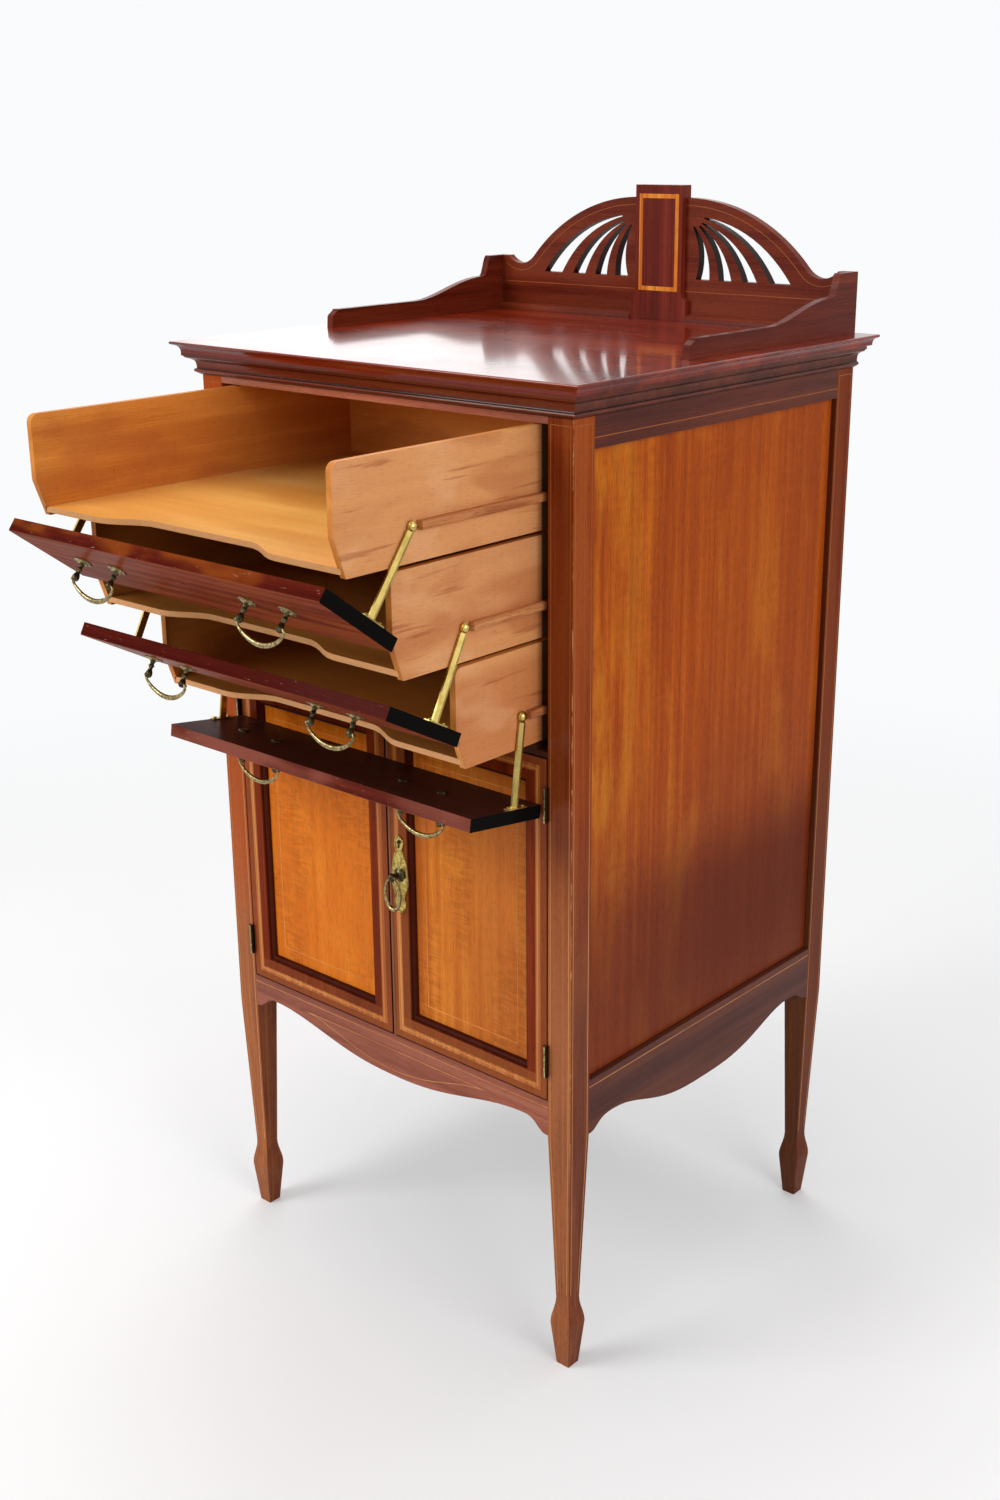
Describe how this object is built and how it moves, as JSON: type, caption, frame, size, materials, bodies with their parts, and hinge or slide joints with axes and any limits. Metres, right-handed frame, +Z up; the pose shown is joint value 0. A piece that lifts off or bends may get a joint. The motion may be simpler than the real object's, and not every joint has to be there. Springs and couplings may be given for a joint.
{
  "type": "music cabinet",
  "caption": "Edwardian style inlaid music cabinet on tapered legs, with fall-front drawers pulled out, two panelled doors below and a pierced arched gallery.",
  "frame": {"origin": "on the floor, under the middle of the bounding box as it stands with the drawers out", "axes": "+X to the right seen from the front, +Y from the front to the back, +Z up"},
  "size_m": [0.58, 0.7885, 1.2439],
  "materials": {
    "post_mahogany": "aged polish",
    "top_mahogany": "glossy french polish",
    "dark_mahogany": "aged polish",
    "gallery_mahogany": "aged polish",
    "side_panel_mahogany": "polished ribbon figure",
    "carcass_wood": "dull stain",
    "satinwood": "polished inlay",
    "drawer_wood": "bare, worn",
    "front_mahogany": "glossy polish",
    "door_frame_mahogany": "polished",
    "door_panel_mahogany": "polished flame figure",
    "arm_brass": "worn brass",
    "handle_brass": "aged brass",
    "hinge_brass": "aged brass",
    "escutcheon_brass": "aged brass"
  },
  "bodies": {
    "cabinet": {"post_front_left": "post_mahogany", "post_front_right": "post_mahogany", "post_rear_left": "post_mahogany", "post_rear_right": "post_mahogany", "side_panels": "side_panel_mahogany", "side_rails": "dark_mahogany", "side_aprons": "dark_mahogany", "front_rail": "dark_mahogany", "front_apron": "dark_mahogany", "rear_rails": "carcass_wood", "back_panel": "carcass_wood", "divider_board": "carcass_wood", "cupboard_shelves": "carcass_wood", "guide_rails": "carcass_wood", "top_board": "top_mahogany", "cornice": "dark_mahogany", "gallery_back": "gallery_mahogany", "gallery_pilaster": "gallery_mahogany", "gallery_sides": "gallery_mahogany", "gallery_moulding": "gallery_mahogany", "pilaster_banding": "satinwood", "case_hinge_leaves": "hinge_brass"},
    "drawer_1": {"drawer_1_sides": "drawer_wood", "drawer_1_back": "drawer_wood", "drawer_1_bottom": "drawer_wood", "drawer_1_runners": "drawer_wood"},
    "drawer_2": {"drawer_2_sides": "drawer_wood", "drawer_2_back": "drawer_wood", "drawer_2_bottom": "drawer_wood", "drawer_2_runners": "drawer_wood"},
    "drawer_3": {"drawer_3_sides": "drawer_wood", "drawer_3_back": "drawer_wood", "drawer_3_bottom": "drawer_wood", "drawer_3_runners": "drawer_wood"},
    "fall_1": {"front_1": "front_mahogany", "front_1_arms": "arm_brass", "front_1_fittings": "handle_brass"},
    "fall_2": {"front_2": "front_mahogany", "front_2_arms": "arm_brass", "front_2_fittings": "handle_brass"},
    "fall_3": {"front_3": "front_mahogany", "front_3_arms": "arm_brass", "front_3_fittings": "handle_brass"},
    "bail_1_left": {"bail_1_left": "handle_brass"},
    "bail_1_right": {"bail_1_right": "handle_brass"},
    "bail_2_left": {"bail_2_left": "handle_brass"},
    "bail_2_right": {"bail_2_right": "handle_brass"},
    "bail_3_left": {"bail_3_left": "handle_brass"},
    "bail_3_right": {"bail_3_right": "handle_brass"},
    "door_left": {"door_left_frame": "door_frame_mahogany", "door_left_panel": "door_panel_mahogany", "door_left_banding": "satinwood", "door_left_hinge_leaves": "hinge_brass"},
    "door_right": {"door_right_frame": "door_frame_mahogany", "door_right_panel": "door_panel_mahogany", "door_right_banding": "satinwood", "door_right_hinge_leaves": "hinge_brass", "meeting_bead": "door_frame_mahogany", "ring_plate": "escutcheon_brass"},
    "ring": {"ring_pull": "escutcheon_brass"}
  },
  "joints": [
    {"name": "drawer_1_slide", "type": "slide", "parent": "cabinet", "child": "drawer_1", "axis": [0, -1, 0], "range_m": [-0.2625, 0]},
    {"name": "drawer_2_slide", "type": "slide", "parent": "cabinet", "child": "drawer_2", "axis": [0, -1, 0], "range_m": [-0.1965, 0]},
    {"name": "drawer_3_slide", "type": "slide", "parent": "cabinet", "child": "drawer_3", "axis": [0, -1, 0], "range_m": [-0.116, 0]},
    {"name": "fall_1_hinge", "type": "hinge", "parent": "drawer_1", "child": "fall_1", "pos_m": [0, -0.27501, 0.9766], "axis": [1, 0, 0], "range_deg": [-53.44, 0]},
    {"name": "bail_1_left_swing", "type": "hinge", "parent": "fall_1", "child": "bail_1_left", "pos_m": [-0.134, -0.36553, 0.88811], "axis": [-1, 0, 0], "range_deg": [-61, 60]},
    {"name": "bail_1_right_swing", "type": "hinge", "parent": "fall_1", "child": "bail_1_right", "pos_m": [0.115, -0.36553, 0.88811], "axis": [-1, 0, 0], "range_deg": [-61, 60]},
    {"name": "fall_2_hinge", "type": "hinge", "parent": "drawer_2", "child": "fall_2", "pos_m": [0, -0.20901, 0.8703], "axis": [1, 0, 0], "range_deg": [-61.98, 0]},
    {"name": "bail_2_left_swing", "type": "hinge", "parent": "fall_2", "child": "bail_2_left", "pos_m": [-0.134, -0.28538, 0.76934], "axis": [-1, 0, 0], "range_deg": [-70, 60]},
    {"name": "bail_2_right_swing", "type": "hinge", "parent": "fall_2", "child": "bail_2_right", "pos_m": [0.115, -0.28538, 0.76934], "axis": [-1, 0, 0], "range_deg": [-70, 60]},
    {"name": "fall_3_hinge", "type": "hinge", "parent": "drawer_3", "child": "fall_3", "pos_m": [0, -0.12851, 0.764], "axis": [1, 0, 0], "range_deg": [-81.75, 0]},
    {"name": "bail_3_left_swing", "type": "hinge", "parent": "fall_3", "child": "bail_3_left", "pos_m": [-0.134, -0.16623, 0.64316], "axis": [-1, 0, 0], "range_deg": [-90, 37]},
    {"name": "bail_3_right_swing", "type": "hinge", "parent": "fall_3", "child": "bail_3_right", "pos_m": [0.115, -0.16623, 0.64316], "axis": [-1, 0, 0], "range_deg": [-90, 37]},
    {"name": "door_left_swing", "type": "hinge", "parent": "cabinet", "child": "door_left", "pos_m": [-0.2335, -0.10751, 0.524], "axis": [0, 0, -1], "range_deg": [0, 0.3]},
    {"name": "door_right_swing", "type": "hinge", "parent": "cabinet", "child": "door_right", "pos_m": [0.2335, -0.10751, 0.524], "axis": [0, 0, 1], "range_deg": [0, 0.3]},
    {"name": "ring_swing", "type": "hinge", "parent": "door_right", "child": "ring", "pos_m": [0.022, -0.11751, 0.534], "axis": [-1, 0, 0], "range_deg": [-8, 120]}
  ],
  "couplings": [
    {"joint": "drawer_2_slide", "follows": "drawer_1_slide", "ratio": 0.74857},
    {"joint": "drawer_3_slide", "follows": "drawer_1_slide", "ratio": 0.4419},
    {"joint": "fall_1_hinge", "follows": "drawer_1_slide", "rad_per_m": 3.5533},
    {"joint": "fall_2_hinge", "follows": "drawer_1_slide", "rad_per_m": 4.1211},
    {"joint": "fall_3_hinge", "follows": "drawer_1_slide", "rad_per_m": 5.4358}
  ]
}
